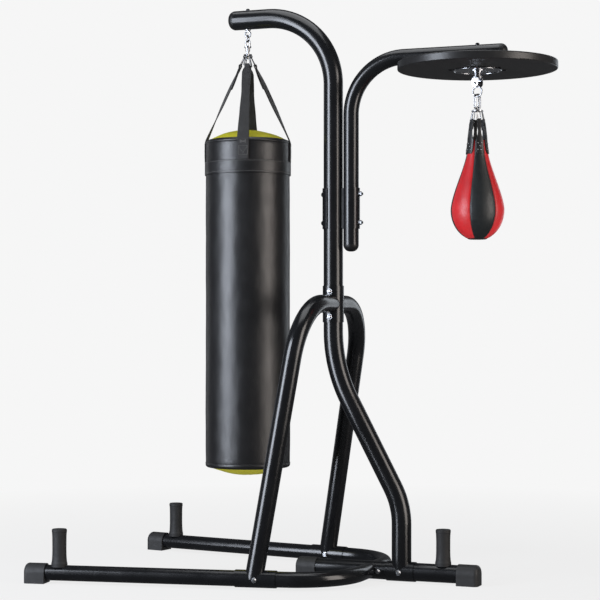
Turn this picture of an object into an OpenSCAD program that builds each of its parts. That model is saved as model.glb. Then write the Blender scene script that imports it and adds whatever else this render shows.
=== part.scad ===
// Free-standing boxing stand with two stations on one bent-tube frame:
// a round speed bag platform on an adjustable arm, and a hanging heavy bag.
// Millimetres. X runs from the heavy bag to the speed bag, Y is depth, Z is up from the floor.

/* [Tubes] */
// Outside diameter of the upper and lower post
post_d = 76.2; // [70:0.1:80]
// Outside diameter of the platform arm
arm_d = 60.3; // [55:0.1:62]
// Outside diameter of the arch, the inner stub and the rear leg
leg_d = 70; // [66:0.5:72]
// Outside diameter of the splayed rails and the U-bend
rail_d = 60; // [56:0.5:62]
// Wall thickness of the posts and legs
wall = 2.5; // [2:0.1:3]

/* [Post] */
// Height of the middle of the centre sleeve, where the two posts meet
sleeve_z = 1075; // [1060:1:1090]
// Length of the centre sleeve
sleeve_len = 143; // [130:1:150]
// Height of the heavy bag arm's axis
top_arm_z = 2212.6; // [2200:0.1:2230]
// Centreline radius of the bend at the top of the post
top_bend_r = 275; // [260:1:290]
// Distance from the post's axis to the rounded end of the heavy bag arm
top_arm_reach = 443; // [435:1:460]
// Length of straight post below the centre sleeve's middle before the lower bend
lower_straight = 104; // [95:1:115]
// Angle by which the lower post leaves the vertical
lower_turn = 28.017; // [27:0.005:29]
// Centreline radius of the first bend of the lower post
lower_bend_r = 580; // [578:1:582]
// Centreline radius of the second bend of the lower post
foot_bend_r = 300; // [280:5:320]
// Distance from the upper post's axis to the foot of the lower post
foot_x = 281.5; // [275:0.5:290]

/* [Arch] */
// Lean of the arch towards the heavy bag
arch_tilt = 9.42; // [8:0.02:11]
// Centreline radius of the arch's shoulders
arch_bend_r = 221; // [210:1:230]
// Turn of each shoulder, a little under a right angle
arch_turn = 87.14; // [86:0.02:88]

/* [Base] */
// Height of the base tubes' axes above the floor
base_z = 40; // [40:0.5:42]
// Splay of each rail
splay = 9.503; // [8:0.01:11]
// Half distance between the rails' axes at the post
rail_y = 365.5; // [350:0.5:380]
// Distance from the post's axis to the rails' far end
rail_reach = 1067; // [1040:1:1080]
// Distance from the post's axis to the middle of the rail sleeves
rail_sleeve_x = 164; // [160:1:168]
// Length of each rail sleeve
rail_sleeve_len = 158; // [150:1:165]
// Distance from the post's axis to the U-bend's cross bar
u_bar_x = 155; // [150:1:160]
// Centreline radius of the U-bend's corners
u_bend_r = 255; // [245:1:265]
// Distance from the post's axis to the end of the rear leg
rear_reach = 595; // [580:1:605]
// Distance from the post's axis to the end of the inner stub
stub_reach = 149; // [145:1:155]
// Distance from the post's axis to the weight peg on the rear leg
rear_peg_x = 449.5; // [440:0.5:460]
// Distance from the post's axis to the weight pegs on the rails
rail_peg_x = 930; // [915:1:940]
// Height of the top of the weight pegs' grips
peg_top_z = 209; // [200:1:215]

/* [Platform] */
// Radius of the round board
board_r = 304.8; // [290:0.1:315]
// Thickness of the board
board_t = 31; // [28:0.5:34]
// Distance from the post's axis to the board's centre
board_x = 585.2; // [570:0.1:600]
// Height of the board's underside
board_z = 1964; // [1960:1:1970]
// Height of the platform arm's axis
arm_z = 2030.2; // [2030.2:0.1:2034]
// Centreline radius of the arm's bend
arm_bend_r = 216; // [205:1:225]
// Distance from the post's axis to the arm's rounded end
arm_reach = 703; // [690:1:715]
// Height of the arm's lower end
arm_foot_z = 1280; // [1270:1:1290]
// Gap between the post and the arm
arm_gap = 6; // [5:0.5:8]
// Height of the middle of the clamp
clamp_z = 1449; // [1440:1:1460]
// Length of the clamp's saddles
clamp_len = 159; // [150:1:165]
// Distance between the clamp's two bolts
clamp_pitch = 112; // [105:1:118]

/* [Speed bag] */
// Height of the pin that the hook ring swings on
pin_z = 1912; // [1908:0.5:1914]
// Height of the bottom of the hook ring
ring_low_z = 1860; // [1856:0.5:1864]
// Height of the top of the bag's tabs
tab_top_z = 1777; // [1772:0.5:1780]
// Height of the top edge of the bag's skin
speed_top_z = 1695; // [1690:0.5:1700]
// Thickness of the bag's skin
skin_t = 2.5; // [2:0.1:3]

/* [Heavy bag] */
// Distance from the post's axis to the bag's axis
bag_x = 364.7; // [355:0.1:375]
// Radius of the bag
bag_r = 168; // [160:0.5:172]
// Height of the bottom edge of the bag's side
bag_low_z = 432; // [425:1:440]
// Height of the top edge of the bag's side
bag_high_z = 1722; // [1715:1:1730]
// Rise of the domed top
top_rise = 50; // [40:1:60]
// Fall of the bulging bottom
bottom_fall = 39; // [30:1:45]
// Turn of the first strap from the X axis
strap_turn = 16.6; // [0:0.1:30]
// Width of the straps
strap_w = 46; // [40:1:50]
// Height of the links' lower bars, which the straps loop over
strap_top_z = 2029; // [2025:0.5:2035]

/* [Hidden] */
$fn = 72;

// Clearance between a tube and what slides over it, on the radius
slip = 0.25;
// Extra length by which a cutting shape passes its solid
over = 1;

// ---- derived: posts and arm ----
sleeve_d = post_d + 2 * slip + 6.4;
top_straight = top_arm_z - top_bend_r - sleeve_z;
end_cap_len = 26;
top_arm_straight = top_arm_reach - end_cap_len - top_bend_r;
slope_len = (foot_x - (lower_bend_r + foot_bend_r) * (1 - cos(lower_turn))) / sin(lower_turn);
lower_drop = lower_straight + (lower_bend_r + foot_bend_r) * sin(lower_turn) + slope_len * cos(lower_turn);
foot_straight = sleeve_z - lower_drop - base_z;
foot_sleeve_len = 114;
foot_sleeve_d = leg_d + 2 * slip + 6;

arm_x = post_d / 2 + arm_gap + arm_d / 2;
arm_straight = arm_z - arm_bend_r - arm_foot_z - end_cap_len;
arm_top_straight = arm_reach - end_cap_len - arm_x - arm_bend_r;
saddle_t = 4.5;
spacer_half = 10;
clamp_bolt_d = 10;
bracket_t = arm_z - arm_d / 2 - board_z - board_t;

// ---- derived: arch ----
rail_slope = tan(splay);
arch_foot_x = tan(arch_tilt) * (sleeve_z - base_z);
arch_foot_y = rail_y + rail_slope * arch_foot_x;
arch_depth = (sleeve_z - base_z) / cos(arch_tilt);
arch_leg_len = (arch_depth - arch_bend_r * (1 - cos(arch_turn))) / sin(arch_turn);
arch_bar_half = arch_foot_y - arch_bend_r * sin(arch_turn) - arch_leg_len * cos(arch_turn);

// ---- derived: base ----
rail_sleeve_d = rail_d + 2 * slip + 6;
rail_sleeve_y = rail_y + rail_slope * rail_sleeve_x;
u_centre_x = u_bar_x - u_bend_r;
u_centre_y = rail_y - rail_slope * u_centre_x - u_bend_r / cos(splay);
u_lead = (u_centre_x + u_bend_r * sin(splay) + rail_sleeve_x) / cos(splay);
foot_cap_len = 84;
foot_cap_r = 36;
leg_cap_r = 39;
foot_cap_round = 16;
cap_grip = 60;
rail_len = (rail_reach - (foot_cap_r - foot_cap_round) * sin(splay) - rail_sleeve_x) / cos(splay);
rail_peg_u = (rail_peg_x - rail_sleeve_x) / cos(splay);
rail_joint_u = 20;
beam_joint_x = foot_x - foot_sleeve_len / 2 + 12;
spigot_d = leg_d - 2 * wall - 2 * slip;
spigot_wall = 3;
beam_bolt_x = 196;
peg_d = 26;

// ---- derived: speed bag hardware ----
plate_t = 3;
plate_r = 93.5;
stem_d = 10;
neck_d = 32;
yoke_top_z = board_z - plate_t - 24;
yoke_plate_t = 6;
yoke_half = 15;
ear_t = 5;
pin_d = 8;
ring_wire = 6;
ring_r = 19;
ring_z = ring_low_z + ring_wire / 2 + ring_r;
ring_turn = -13.5;
link_wire = 5;
link_r = 11;
link_turn = 56.5;
link_top_z = ring_low_z + ring_wire + link_wire / 2 + 2.7;
link_low_z = 1813 + link_wire / 2;
small_wire = 3;
gather_r = 22.5;
gather_t = 3.5;
gather_z = link_low_z - link_wire / 2 - 4 - gather_t;
gather_wire = 3.5;
gather_arch_r = 10;
gather_arch_z = link_low_z - 2;
tab_link_top_z = gather_z + gather_t + small_wire / 2 + 0.4;
tab_link_top_r = 17;
link_gap = 5;
tab_turn = 59.28;
tab_t = 2;
tab_bar_z = tab_top_z - 4;
tab_bar_reach = 25;
tab_lean = atan2(tab_bar_reach - tab_link_top_r, tab_link_top_z - tab_bar_z);
belly_z = 1431;
belly_r = 101.3;
speed_low_z = 1320;
neck_r = 34;

// ---- derived: heavy bag hardware ----
arm_under_z = top_arm_z - post_d / 2;
eye_wire = 7;
eye_r = 11.5;
eye_z = arm_under_z - 4 - eye_r - eye_wire / 2;
hang_wire = 6;
hang_r = 9;
hang_top_z = eye_z - eye_r + eye_wire / 2 + hang_wire / 2 + 0.4;
hang_low_z = hang_top_z - 26;
bow_top_z = hang_low_z + hang_wire + 0.4;
bow_plate_z = bow_top_z - 29.5;
bow_plate_t = 5;
hub_bolt_d = 8;
hub_d = 18;
hub_top_z = bow_plate_z - 0.6;
lug_hole_z = 2066;
lug_hole_r = 12;
lug_t = 4;
strap_link_wire = 4.5;
strap_bar_r = 30;
strap_t = 4;
strap_lean = atan2(strap_bar_r - lug_hole_r, lug_hole_z - strap_top_z);
band_t = 4;
band_low_z = 1589;
band_high_z = 1642;
fill_gap = 0.4;
bag_skin_t = 3;

// The whole model is set so that the origin is under the middle of its outline
post_x = (rail_reach - board_x - board_r) / 2;

// ---------- placing ----------

module at_post(x = 0, z = 0) {
    translate([post_x + x, 0, z]) children();
}

// Children lie along local X, which points from a rail's sleeve towards the U-bend
module on_rail(side) {
    mirror([0, side == "rear" ? 1 : 0, 0])
        at_post(-rail_sleeve_x, base_z) translate([0, -rail_sleeve_y, 0]) rotate([0, 0, splay]) children();
}

// Children stand on each tube that carries a weight peg; $tube_r is that tube's radius
module on_pegs() {
    let ($tube_r = leg_d / 2) at_post(rear_peg_x, base_z) children();
    for (side = ["front", "rear"])
        let ($tube_r = rail_d / 2) on_rail(side) translate([-rail_peg_u, 0, 0]) children();
}

module four_ways(turn) {
    for (k = [0:3]) rotate([0, 0, turn + 90 * k]) children();
}

module six_ways(turn) {
    for (k = [0:5]) rotate([0, 0, turn + 60 * k]) children();
}

// ---------- shapes that repeat ----------

// A hollow or solid round section of a bar
module ring_section(d, thickness) {
    difference() {
        circle(d = d);
        if (thickness > 0) circle(d = d - 2 * thickness);
    }
}

// A bend that starts at the origin, heads along +Z and turns towards +X: a wedge of a full ring,
// cut by the same planes that the straight stretches start from
module bend(radius, turn, d, thickness) {
    size = 2 * radius + 2 * d;
    translate([radius, 0, 0]) intersection() {
        rotate([90, 0, 0]) rotate_extrude($fn = 128) translate([radius, 0]) ring_section(d, thickness);
        translate([-size / 2, -d, 0]) cube([size, 2 * d, size]);
        rotate([0, turn, 0]) translate([-size / 2, -d, -size]) cube([size, 2 * d, size]);
    }
}

// A bent tube, or a solid bar where thickness is 0: steps holds [straight length, bend radius, turn],
// starts along +Z and turns towards +X, or towards -X where the turn is negative
module bent_tube(steps, d, thickness = wall, i = 0) {
    if (i < len(steps)) {
        radius = steps[i][1];
        turn = steps[i][2];
        linear_extrude(steps[i][0]) ring_section(d, thickness);
        if (turn != 0)
            translate([0, 0, steps[i][0]]) {
                mirror([turn < 0 ? 1 : 0, 0, 0]) bend(radius, abs(turn), d, thickness);
                translate([sign(turn) * radius, 0, 0]) rotate([0, turn, 0])
                    translate([-sign(turn) * radius, 0, 0]) bent_tube(steps, d, thickness, i + 1);
            }
    }
}

module straight_tube(length, d, thickness = wall) {
    difference() {
        cylinder(h = length, d = d);
        translate([0, 0, -over]) cylinder(h = length + 2 * over, d = d - 2 * thickness);
    }
}

// A hole or a bar along Y through the local origin
module along_y(length, d) {
    rotate([90, 0, 0]) cylinder(h = length, d = d, center = true);
}

module along_x(length, d) {
    rotate([0, 90, 0]) cylinder(h = length, d = d, center = true);
}

// A domed plug that stands on Z = 0 over a tube's end and grips inside it
module tube_plug(d, thickness = wall) {
    dome = end_cap_len;
    rotate_extrude() {
        square([d / 2 - dome, dome]);
        intersection() {
            translate([d / 2 - dome, 0]) circle(r = dome);
            square([d / 2, dome]);
        }
        translate([0, -14]) square([d / 2 - thickness - slip, 14 + 0.01]);
    }
}

// A bolt along -Y with a domed head at the front and a nut at the back
module cross_bolt(grip, d) {
    head_r = d * 0.85;
    along_y(grip + 2 * d, d);
    translate([0, -grip / 2, 0]) rotate([90, 0, 0]) {
        cylinder(h = 1.5, r = head_r + 2);
        translate([0, 0, 1.5]) dome(head_r, d * 0.5);
    }
    translate([0, grip / 2, 0]) rotate([-90, 0, 0]) {
        cylinder(h = 1.5, r = head_r + 2);
        translate([0, 0, 1.5]) cylinder(h = d * 0.8, r = head_r, $fn = 6);
    }
}

// A low dome of base radius r and height h, standing on Z = 0
module dome(r, h) {
    ball = (r * r + h * h) / (2 * h);
    rotate_extrude() intersection() {
        translate([0, h - ball]) circle(r = ball, $fn = 180);
        square([r, h + over]);
    }
}

// A closed wire loop in the YZ plane: a trapezium with round corners, from Z = 0 up to height
module trapezium_link(low_half, top_half, height, corner, wire) {
    lean = atan2(low_half - top_half, height);
    corners = [[top_half - corner, height - corner, 0], [corner - top_half, height - corner, 90],
               [corner - low_half, corner, 180], [low_half - corner, corner, 270]];
    path = [for (c = corners) for (k = [0:4]) let (a = c[2] + 22.5 * k)
        [c[0] + corner * cos(a), c[1] + corner * sin(a)]];
    wire_loop(path, wire, 10);
}

// A closed round wire of the given number of sides along a flat loop of points in the YZ plane
module wire_loop(path, d, sides) {
    n = len(path);
    points = [for (i = [0:n - 1])
        let (ahead = path[(i + 1) % n], behind = path[(i + n - 1) % n],
             way = (ahead - behind) / norm(ahead - behind))
        for (k = [0:sides - 1]) let (a = 360 * k / sides)
            [d / 2 * cos(a), path[i][0] + d / 2 * sin(a) * way[1], path[i][1] - d / 2 * sin(a) * way[0]]];
    faces = [for (i = [0:n - 1]) for (k = [0:sides - 1])
        let (j = (i + 1) % n, m = (k + 1) % sides)
        [i * sides + k, j * sides + k, j * sides + m, i * sides + m]];
    polyhedron(points, faces);
}

// A plastic end shoe: its tube enters along +X, its tip points along +X, its sole is on the floor
module foot_shoe(tube_d, r) {
    inner = r - foot_cap_round;
    difference() {
        union() {
            rotate([0, 90, 0]) rotate_extrude() {
                square([r, foot_cap_len - foot_cap_round]);
                square([inner, foot_cap_len]);
                translate([inner, foot_cap_len - foot_cap_round]) circle(r = foot_cap_round);
            }
            translate([0, 0, -base_z]) linear_extrude(base_z) shoe_outline(r, inner);
        }
        translate([-over, 0, 0]) rotate([0, 90, 0])
            cylinder(h = cap_grip + over, d = tube_d + 2 * slip);
    }
}

module shoe_outline(r, inner) {
    translate([0, -r]) square([foot_cap_len - foot_cap_round, 2 * r]);
    translate([0, -inner]) square([foot_cap_len, 2 * inner]);
    for (side = [-1, 1])
        translate([foot_cap_len - foot_cap_round, side * inner]) circle(r = foot_cap_round);
}

// A closed oval wire link in the XZ plane, between two heights of its wire's centreline
module oval_link(top_z, low_z, radius, wire) {
    for (side = [-1, 1])
        translate([side * radius, 0, low_z + radius])
            cylinder(h = top_z - low_z - 2 * radius, d = wire);
    translate([0, 0, top_z - radius]) half_ring(radius, wire);
    translate([0, 0, low_z + radius]) mirror([0, 0, 1]) half_ring(radius, wire);
}

// Half a wire ring in the XZ plane, above the local origin
module half_ring(radius, wire) {
    rotate([90, 0, 0]) rotate_extrude(angle = 180) translate([radius, 0]) circle(d = wire);
}

module full_ring(radius, wire) {
    rotate([90, 0, 0]) rotate_extrude() translate([radius, 0]) circle(d = wire);
}

// ---------- posts and arch ----------

module upper_post_path() {
    at_post(0, sleeve_z) mirror([1, 0, 0]) children();
}

module upper_post() {
    steps = [[top_straight, top_bend_r, 90], [top_arm_straight, 0, 0]];
    color("#17181a") difference() {
        upper_post_path() bent_tube(steps, post_d);
        clamp_bolt_holes();
        at_post(0, sleeve_z + sleeve_len / 2 - 22) along_y(2 * post_d, 10.5);
        at_post(-bag_x, top_arm_z) cylinder(h = 2 * post_d, d = 10.5, center = true);
    }
}

module upper_post_cap() {
    color("#141414") at_post(-top_arm_reach + end_cap_len, top_arm_z) rotate([0, -90, 0]) tube_plug(post_d);
}

module sleeve_body(length, d, bore) {
    difference() {
        cylinder(h = length, d = d, center = true);
        cylinder(h = length + 2 * over, d = bore, center = true);
    }
}

module centre_sleeve() {
    color("#191a1c") difference() {
        at_post(0, sleeve_z) sleeve_body(sleeve_len, sleeve_d, post_d + 2 * slip);
        for (side = [-1, 1])
            at_post(0, sleeve_z + side * (sleeve_len / 2 - 22)) along_y(2 * post_d, 10.5);
    }
}

module centre_sleeve_bolts() {
    color("#c8cacd") for (side = [-1, 1])
        at_post(0, sleeve_z + side * (sleeve_len / 2 - 22)) cross_bolt(sleeve_d + 1, 10);
}

module arch_leg(side) {
    steps = [[arch_bar_half, arch_bend_r, arch_turn], [arch_leg_len, 0, 0]];
    difference() {
        mirror([0, side == "rear" ? 1 : 0, 0])
            at_post(0, sleeve_z) rotate([90, 90 + arch_tilt, 0]) bent_tube(steps, leg_d);
        at_post(0, sleeve_z) cylinder(h = 2 * sleeve_len, d = sleeve_d, center = true);
        on_rail(side) along_x(2 * rail_sleeve_len, rail_sleeve_d);
        on_rail(side) along_y(3 * rail_d, 22);
    }
}

module arch_front_leg() {
    color("#17181a") arch_leg("front");
}

module arch_rear_leg() {
    color("#17181a") arch_leg("rear");
}

module lower_post() {
    steps = [[lower_straight, lower_bend_r, lower_turn], [slope_len, foot_bend_r, -lower_turn],
             [foot_straight, 0, 0]];
    color("#17181a") difference() {
        at_post(0, sleeve_z) rotate([180, 0, 0]) bent_tube(steps, post_d);
        at_post(0, sleeve_z - sleeve_len / 2 + 22) along_y(2 * post_d, 10.5);
        at_post(foot_x, base_z) along_x(2 * foot_sleeve_len, foot_sleeve_d);
    }
}

module post_foot_sleeve() {
    color("#191a1c") difference() {
        at_post(foot_x, base_z) rotate([0, 90, 0]) sleeve_body(foot_sleeve_len, foot_sleeve_d, leg_d + 2 * slip);
        at_post(foot_x, base_z) along_y(2 * post_d, 10.5);
    }
}

// ---------- base ----------

module base_u_bend() {
    lead = u_lead - rail_joint_u;
    steps = [[lead, u_bend_r, 90 - splay], [2 * u_centre_y, u_bend_r, 90 - splay], [lead, 0, 0]];
    color("#17181a") on_rail("front") translate([rail_joint_u, 0, 0]) rotate([90, 0, 90])
        bent_tube(steps, rail_d);
}

module inner_stub() {
    start = -stub_reach + foot_cap_len - cap_grip + slip;
    color("#17181a") difference() {
        at_post(start, base_z) rotate([0, 90, 0]) straight_tube(u_bar_x - start, leg_d);
        at_post(u_bar_x, base_z) along_y(4 * rail_d, rail_d);
    }
}

module inner_stub_cap() {
    color("#2d2d2e") at_post(-stub_reach + foot_cap_len, base_z) mirror([1, 0, 0]) foot_shoe(leg_d, leg_cap_r);
}

module beam_socket() {
    color("#17181a") difference() {
        at_post(u_bar_x, base_z) rotate([0, 90, 0]) straight_tube(beam_joint_x - u_bar_x, leg_d);
        at_post(u_bar_x, base_z) along_y(4 * rail_d, rail_d);
        at_post(beam_bolt_x, base_z) along_y(2 * leg_d, 10.5);
    }
}

module joining_spigot() {
    start = u_bar_x + rail_d / 2 - 4;
    color("#2a2b2d") difference() {
        at_post(start, base_z) rotate([0, 90, 0])
            straight_tube(foot_x + foot_sleeve_len / 2 - start + 20, spigot_d, spigot_wall);
        at_post(u_bar_x, base_z) along_y(4 * rail_d, rail_d + 2);
        at_post(beam_bolt_x, base_z) along_y(2 * leg_d, 10.5);
        at_post(foot_x, base_z) along_y(2 * leg_d, 10.5);
    }
}

module rear_leg() {
    color("#17181a") difference() {
        at_post(beam_joint_x, base_z) rotate([0, 90, 0])
            straight_tube(rear_reach - foot_cap_len + cap_grip - slip - beam_joint_x, leg_d);
        at_post(foot_x, base_z) along_y(2 * leg_d, 10.5);
        at_post(rear_peg_x, base_z) cylinder(h = leg_d, d = peg_d + 0.4);
    }
}

module rear_leg_cap() {
    color("#2d2d2e") at_post(rear_reach - foot_cap_len, base_z) foot_shoe(leg_d, leg_cap_r);
}

module beam_bolts() {
    color("#c8cacd") {
        at_post(beam_bolt_x, base_z) cross_bolt(leg_d + 1, 10);
        at_post(foot_x, base_z) cross_bolt(foot_sleeve_d + 1, 10);
    }
}

module rail(side) {
    difference() {
        on_rail(side) translate([rail_joint_u, 0, 0]) rotate([0, -90, 0])
            straight_tube(rail_joint_u + rail_len - foot_cap_len + cap_grip - slip, rail_d);
        on_rail(side) along_y(2 * rail_d, 10.5);
        on_rail(side) translate([-rail_peg_u, 0, 0]) cylinder(h = rail_d, d = peg_d + 0.4);
    }
}

module front_rail() {
    color("#17181a") rail("front");
}

module rear_rail() {
    color("#17181a") rail("rear");
}

module rail_sleeve(side) {
    on_rail(side) difference() {
        rotate([0, 90, 0]) sleeve_body(rail_sleeve_len, rail_sleeve_d, rail_d + 2 * slip);
        along_y(2 * rail_d, 10.5);
    }
}

module front_rail_sleeve() {
    color("#191a1c") rail_sleeve("front");
}

module rear_rail_sleeve() {
    color("#191a1c") rail_sleeve("rear");
}

module rail_sleeve_bolts() {
    color("#c8cacd") for (side = ["front", "rear"]) on_rail(side) cross_bolt(rail_sleeve_d + 1, 10);
}

module front_rail_cap() {
    color("#2d2d2e") on_rail("front") translate([-rail_len + foot_cap_len, 0, 0]) mirror([1, 0, 0]) foot_shoe(rail_d, foot_cap_r);
}

module rear_rail_cap() {
    color("#2d2d2e") on_rail("rear") translate([-rail_len + foot_cap_len, 0, 0]) mirror([1, 0, 0]) foot_shoe(rail_d, foot_cap_r);
}

module peg_stubs() {
    color("#202124") on_pegs() translate([0, 0, rail_d / 4])
        straight_tube(peg_top_z - base_z - rail_d / 4 - 8, peg_d);
}

// A flared grip: wide at the foot, narrow in the middle, with a lip and a closed top
module weight_peg_grips() {
    high = peg_top_z - base_z;
    lip = 10;
    color("#252526") on_pegs() difference() {
        rotate_extrude() polygon([
            [0, $tube_r - 6], [31, $tube_r - 6], [31, $tube_r + 7], [29, $tube_r + 15], [27.5, $tube_r + 35],
            [27, $tube_r + 60], [27.3, high - 30], [28.2, high - lip - 4], [29, high - lip],
            [29, high - 3], [27, high], [0, high]
        ]);
        along_x(4 * peg_d, 2 * $tube_r + 2 * slip);
        cylinder(h = high - 7.5, d = peg_d + 0.4);
    }
}

// ---------- clamp and platform arm ----------

module clamp_bolt_holes() {
    for (side = [-1, 1])
        at_post(arm_x / 2, clamp_z + side * clamp_pitch / 2) along_x(4 * post_d, clamp_bolt_d + 0.5);
}

module platform_arm() {
    steps = [[arm_straight, arm_bend_r, 90], [arm_top_straight, 0, 0]];
    color("#17181a") difference() {
        at_post(arm_x, arm_foot_z + end_cap_len) bent_tube(steps, arm_d);
        clamp_bolt_holes();
        at_post(board_x, arm_z) cylinder(h = 2 * arm_d, d = stem_d + 0.5, center = true);
    }
}

module arm_bottom_cap() {
    color("#141414") at_post(arm_x, arm_foot_z + end_cap_len) mirror([0, 0, 1]) tube_plug(arm_d);
}

module arm_end_cap() {
    color("#141414") at_post(arm_reach - end_cap_len, arm_z) rotate([0, 90, 0]) tube_plug(arm_d);
}

module clamp_spacer() {
    left = post_d / 4;
    color("#141414") difference() {
        at_post(left, clamp_z - clamp_len / 2)
            translate([0, -spacer_half, 0]) cube([arm_x - arm_d / 5 - left, 2 * spacer_half, clamp_len]);
        at_post(0, 0) cylinder(h = top_arm_z, d = post_d);
        at_post(arm_x, 0) cylinder(h = top_arm_z, d = arm_d);
        clamp_bolt_holes();
    }
}

// A curved plate that hugs the -X side of a tube on the local Z axis
module saddle(d) {
    intersection() {
        difference() {
            cylinder(h = clamp_len, d = d + 2 * saddle_t, center = true);
            cylinder(h = clamp_len + 2 * over, d = d, center = true);
        }
        translate([-d, 0, 0]) cube([1.7 * d, 1.6 * d, clamp_len + over], center = true);
    }
}

module post_saddle() {
    color("#1b1c1e") difference() {
        at_post(0, clamp_z) saddle(post_d);
        clamp_bolt_holes();
    }
}

module arm_saddle() {
    color("#1b1c1e") difference() {
        at_post(arm_x, clamp_z) mirror([1, 0, 0]) saddle(arm_d);
        clamp_bolt_holes();
    }
}

module clamp_bolts() {
    start = -post_d / 2 - saddle_t - 1;
    end = arm_x + arm_d / 2 + saddle_t + 14;
    color("#1a1a1b") for (side = [-1, 1])
        at_post(start, clamp_z + side * clamp_pitch / 2) {
            rotate([0, 90, 0]) cylinder(h = end - start, d = clamp_bolt_d);
            rotate([0, -90, 0]) dome(10, 7);
        }
}

module clamp_nuts() {
    color("#c8cacd") for (side = [-1, 1])
        at_post(arm_x + arm_d / 2 + saddle_t, clamp_z + side * clamp_pitch / 2) rotate([0, 90, 0]) difference() {
            union() {
                cylinder(h = 2, r = 10.5);
                translate([0, 0, 2]) cylinder(h = 8, r = 9.2, $fn = 6);
            }
            translate([0, 0, -over]) cylinder(h = 20, d = clamp_bolt_d);
        }
}

module on_bracket_corners() {
    for (x = [-95, 95]) for (y = [-40, 40]) at_post(board_x + x, board_z) translate([0, y, 0]) children();
}

module platform_bracket() {
    color("#1b1c1e") difference() {
        at_post(board_x, board_z + board_t) translate([-120, -55, 0]) cube([240, 110, bracket_t]);
        on_bracket_corners() cylinder(h = 3 * board_t, d = 8.5);
        at_post(board_x, board_z) cylinder(h = 3 * board_t, d = stem_d + 0.5);
    }
}

module platform_board() {
    edge = 5;
    color("#1d1d1e") difference() {
        at_post(board_x, board_z) rotate_extrude($fn = 144) {
            square([board_r - edge, board_t]);
            translate([0, edge]) square([board_r, board_t - 2 * edge]);
            for (z = [edge, board_t - edge]) translate([board_r - edge, z]) circle(r = edge);
        }
        on_bracket_corners() translate([0, 0, -over]) cylinder(h = 3 * board_t, d = 8.5);
        at_post(board_x, board_z - over) cylinder(h = 3 * board_t, d = stem_d + 0.5);
    }
}

module bracket_bolts() {
    color("#1a1a1b") on_bracket_corners() {
        cylinder(h = board_t + bracket_t + 8, d = 8);
        mirror([0, 0, 1]) dome(9, 4);
        translate([0, 0, board_t + bracket_t]) cylinder(h = 6.5, r = 7.5, $fn = 6);
    }
}

// ---------- speed bag swivel ----------

module on_plate_screws() {
    for (k = [0:5]) rotate([0, 0, 30 + 60 * k]) translate([plate_r - 16, 0, 0]) children();
}

// A dished round plate with a rolled rim, screwed under the board
module swivel_plate() {
    rim = 3;
    color("#d5d7da") at_post(board_x, board_z) difference() {
        rotate_extrude() {
            translate([0, -plate_t]) square([plate_r - rim, plate_t]);
            translate([plate_r - rim, -rim]) circle(r = rim);
            translate([0, -plate_t - 2]) square([neck_d / 2 + 14, 3]);
        }
        translate([0, 0, -10]) cylinder(h = 20, d = stem_d + 0.5);
        on_plate_screws() translate([0, 0, -10]) cylinder(h = 20, d = 5.5);
    }
}

module swivel_plate_screws() {
    color("#e2e3e5") at_post(board_x, board_z - plate_t) on_plate_screws() {
        mirror([0, 0, 1]) dome(5.5, 3);
        cylinder(h = 20, d = 5);
    }
}

// The fixed stem: a stepped neck under the plate and a bolt that ends in a nut on the arm's top
module swivel_stem() {
    neck_top = board_z - plate_t - 2;
    color("#d0d2d5") at_post(board_x, 0) {
        translate([0, 0, yoke_top_z + 0.6]) cylinder(h = neck_top - yoke_top_z - 0.6, d = neck_d);
        translate([0, 0, neck_top - 6]) cylinder(h = 6, d = neck_d + 8);
        translate([0, 0, yoke_top_z - yoke_plate_t - 6]) cylinder(h = arm_z + arm_d / 2 + 7 - yoke_top_z + yoke_plate_t + 6, d = stem_d);
        translate([0, 0, yoke_top_z - yoke_plate_t - 6.6]) cylinder(h = 6, d = 18);
        translate([0, 0, arm_z + arm_d / 2]) cylinder(h = 5, r = 8, $fn = 6);
    }
}

// A fork that turns on the stem and carries the pin between two ears
module swivel_yoke() {
    ear_low = pin_z - 13;
    color("#c3c5c8") at_post(board_x, 0) rotate([0, 0, ring_turn]) difference() {
        union() {
            translate([0, 0, yoke_top_z - yoke_plate_t]) cylinder(h = yoke_plate_t, d = 48);
            for (side = [-1, 1]) {
                translate([-13, side * (yoke_half + ear_t / 2) - ear_t / 2, pin_z])
                    cube([26, ear_t, yoke_top_z - pin_z - over]);
                translate([0, side * (yoke_half + ear_t / 2), pin_z]) along_y(ear_t, 26);
            }
        }
        translate([0, 0, yoke_top_z - 3 * yoke_plate_t]) cylinder(h = 4 * yoke_plate_t, d = stem_d + 0.1);
        translate([0, 0, pin_z]) along_y(4 * yoke_half, pin_d);
    }
}

module yoke_pin() {
    color("#e2e3e5") at_post(board_x, pin_z) rotate([0, 0, ring_turn]) {
        along_y(2 * (yoke_half + ear_t) + 2, pin_d);
        for (side = [-1, 1])
            translate([0, side * (yoke_half + ear_t), 0]) rotate([-side * 90, 0, 0]) dome(6.5, 3.5);
    }
}

// A barrel on the pin with a round wire ring under it
module hook_ring() {
    barrel_d = 18;
    color("#b9bcc0") at_post(board_x, 0) rotate([0, 0, ring_turn]) difference() {
        union() {
            translate([0, 0, pin_z]) along_y(2 * yoke_half - 4, barrel_d);
            translate([0, 0, ring_z + ring_r - ring_wire / 2]) cylinder(h = pin_z - ring_z - ring_r, d = 10);
            translate([0, 0, ring_z]) full_ring(ring_r, ring_wire);
        }
        translate([0, 0, pin_z]) along_y(3 * yoke_half, pin_d + 0.1);
    }
}

// ---------- speed bag ----------

// Two oval links side by side on the hook ring
module upper_links() {
    color("#8d9095") at_post(board_x, 0) rotate([0, 0, link_turn]) for (side = [-1, 1])
        translate([0, side * link_gap, 0]) oval_link(link_top_z, link_low_z, link_r, link_wire);
}

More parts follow.
